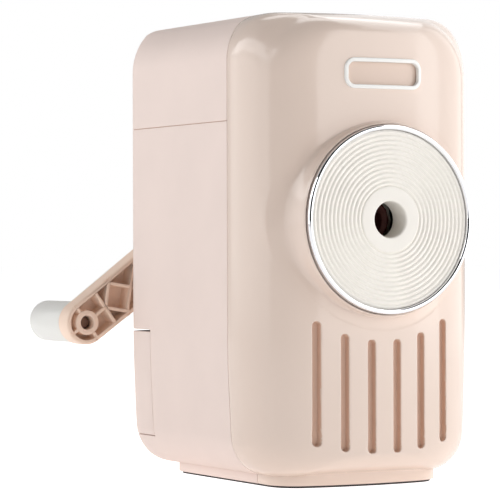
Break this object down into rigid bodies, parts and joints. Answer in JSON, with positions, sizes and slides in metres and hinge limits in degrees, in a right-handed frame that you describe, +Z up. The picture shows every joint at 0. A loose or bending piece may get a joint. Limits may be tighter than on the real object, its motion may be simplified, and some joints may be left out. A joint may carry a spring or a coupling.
{
  "type": "pencil sharpener",
  "caption": "Desk pencil sharpener with a rounded upright casing, ridged dial with a pencil hole, grooved front, geared helical cutter, rear hand crank with knob, and a shavings drawer.",
  "frame": {"origin": "on the desk, under the middle of the non-slip pad", "axes": "+Z up; +Y towards the back, along the crank axis and the way the drawer comes out; +X to the right of someone who looks at the back from the front, so the dial faces -Y"},
  "size_m": [0.0851, 0.1249, 0.127],
  "materials": {
    "casing_gloss": "gloss",
    "casing_satin": "satin",
    "white_plastic": "gloss",
    "chrome_trim": "polished",
    "pad_rubber": "matte",
    "mechanism_plastic": "matte",
    "carrier_plastic": "satin",
    "tool_steel": "ground",
    "plated_steel": "zinc plated",
    "nylon": "natural"
  },
  "bodies": {
    "casing": {"front_shell": "casing_gloss", "body_shell": "casing_satin", "top_cover": "casing_satin", "nonslip_pad": "pad_rubber", "badge_frame": "white_plastic", "dial_disc": "white_plastic", "chrome_ring": "chrome_trim", "dial_lock_ring": "plated_steel", "shell_screw_left": "plated_steel", "shell_screw_right": "plated_steel", "cutter_housing": "mechanism_plastic", "ring_gear": "nylon", "front_bush": "nylon", "rear_bush": "nylon", "wall_bush": "nylon", "housing_screw_1": "plated_steel", "housing_screw_2": "plated_steel", "housing_screw_3": "plated_steel", "housing_screw_4": "plated_steel"},
    "drawer": {"shavings_drawer": "casing_satin"},
    "crank": {"cutter_carrier": "carrier_plastic", "cutter_axle": "plated_steel", "crank_shaft": "plated_steel", "shaft_clip": "tool_steel", "crank_arm": "casing_satin", "crank_screw": "plated_steel", "screw_cap": "white_plastic", "knob_axle": "plated_steel"},
    "cutter": {"helical_cutter": "tool_steel", "cutter_pinion": "plated_steel"},
    "knob": {"crank_knob": "white_plastic"}
  },
  "joints": [
    {"name": "drawer_slide", "type": "slide", "parent": "casing", "child": "drawer", "axis": [0, 1, 0], "range_m": [0, 0.095]},
    {"name": "crank_turn", "type": "hinge", "parent": "casing", "child": "crank", "pos_m": [0, 0, 0.0712], "axis": [0, 1, 0], "continuous": true},
    {"name": "cutter_spin", "type": "hinge", "parent": "crank", "child": "cutter", "pos_m": [0, 0.0358, 0.0712], "axis": [-0.0954, 0.9816, 0.1652], "continuous": true},
    {"name": "knob_spin", "type": "hinge", "parent": "crank", "child": "knob", "pos_m": [-0.04411, 0.068, 0.04255], "axis": [0, 1, 0], "continuous": true}
  ],
  "couplings": [
    {"joint": "cutter_spin", "follows": "crank_turn", "ratio": -3.4}
  ]
}
